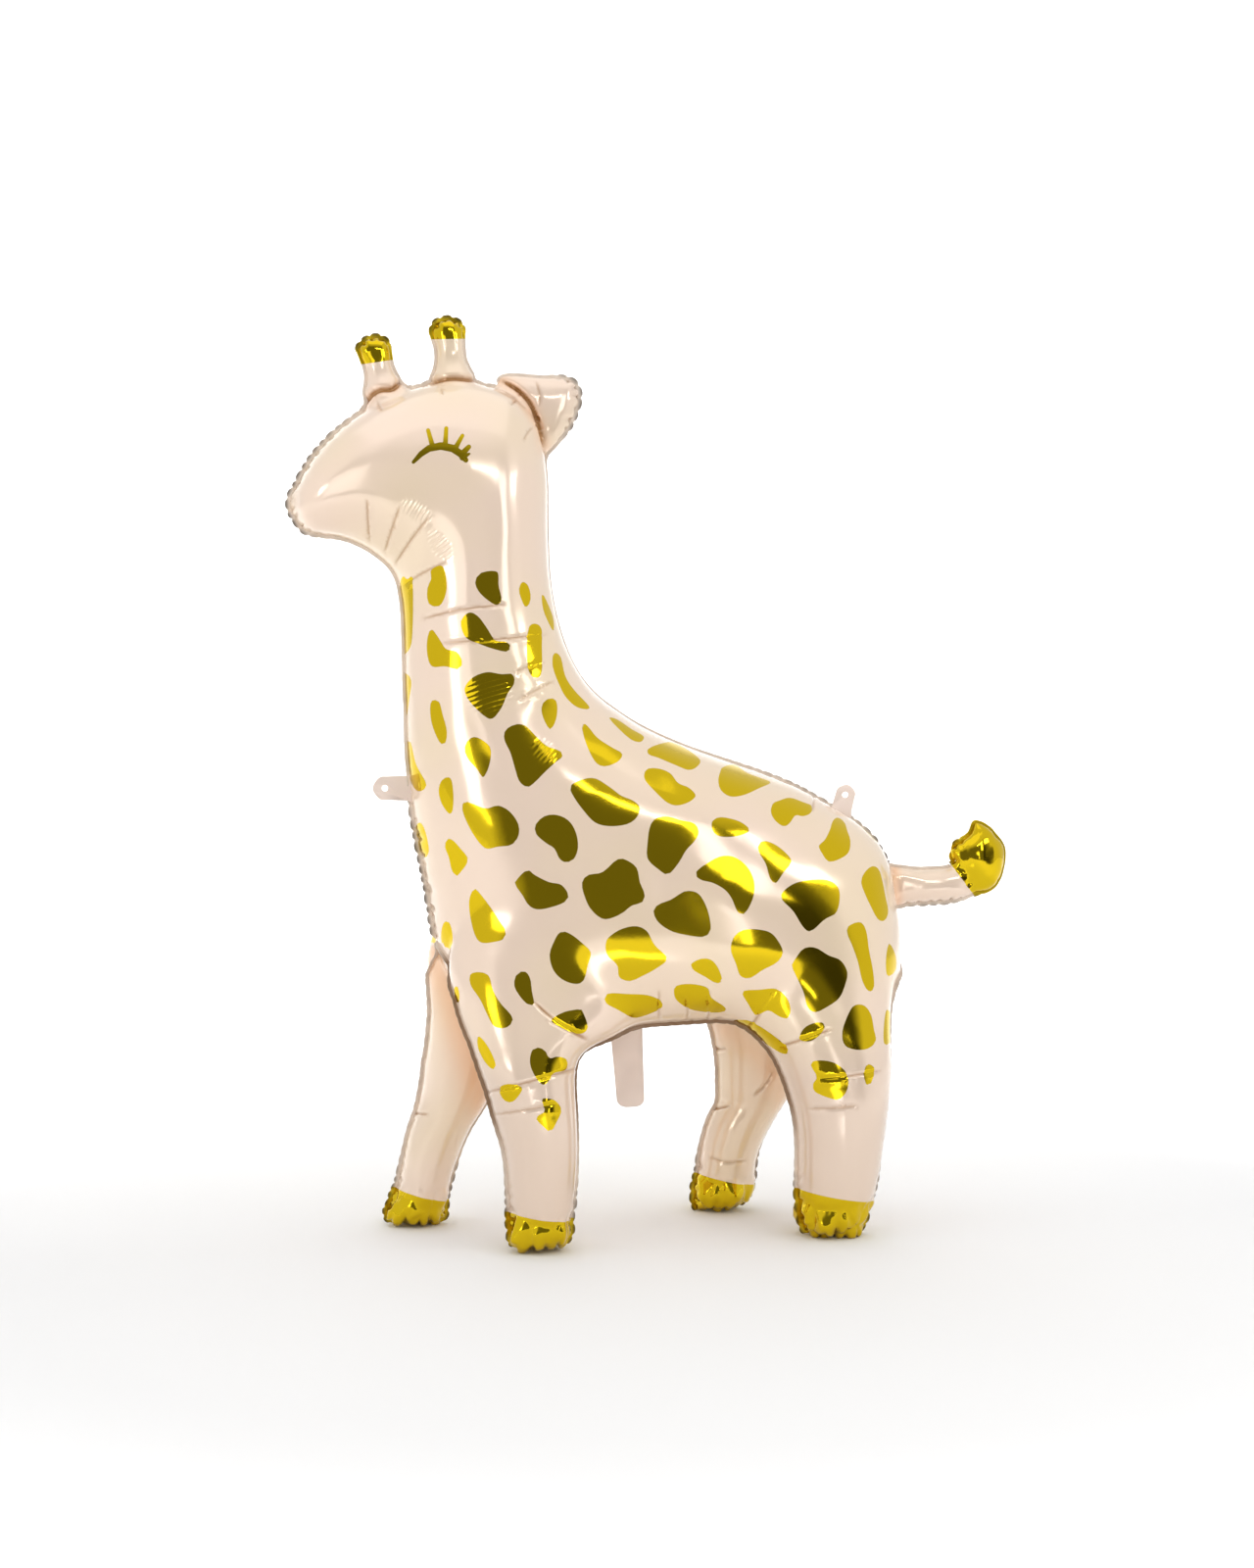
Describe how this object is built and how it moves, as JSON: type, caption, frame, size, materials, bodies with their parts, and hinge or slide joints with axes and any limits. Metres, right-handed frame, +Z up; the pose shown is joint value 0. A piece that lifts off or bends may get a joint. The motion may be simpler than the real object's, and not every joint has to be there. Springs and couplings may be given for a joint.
{
  "type": "giraffe foil balloon",
  "caption": "Air-filled foil balloon of a standing giraffe, with welded seams, four tubular legs, hanging tabs and a valve strip.",
  "frame": {"origin": "on the floor, under the middle of the bounding box", "axes": "+Z up, the giraffe faces -X, and its welded seam lies in the XZ plane"},
  "size_m": [0.8094, 0.253, 0.9867],
  "materials": {
    "cream_foil": "satin pearl metallised film with mirror gold patches",
    "pink_film": "thin satin film"
  },
  "bodies": {
    "root": {"foil_envelope": "cream_foil", "filling_strip": "pink_film"}
  },
  "joints": []
}
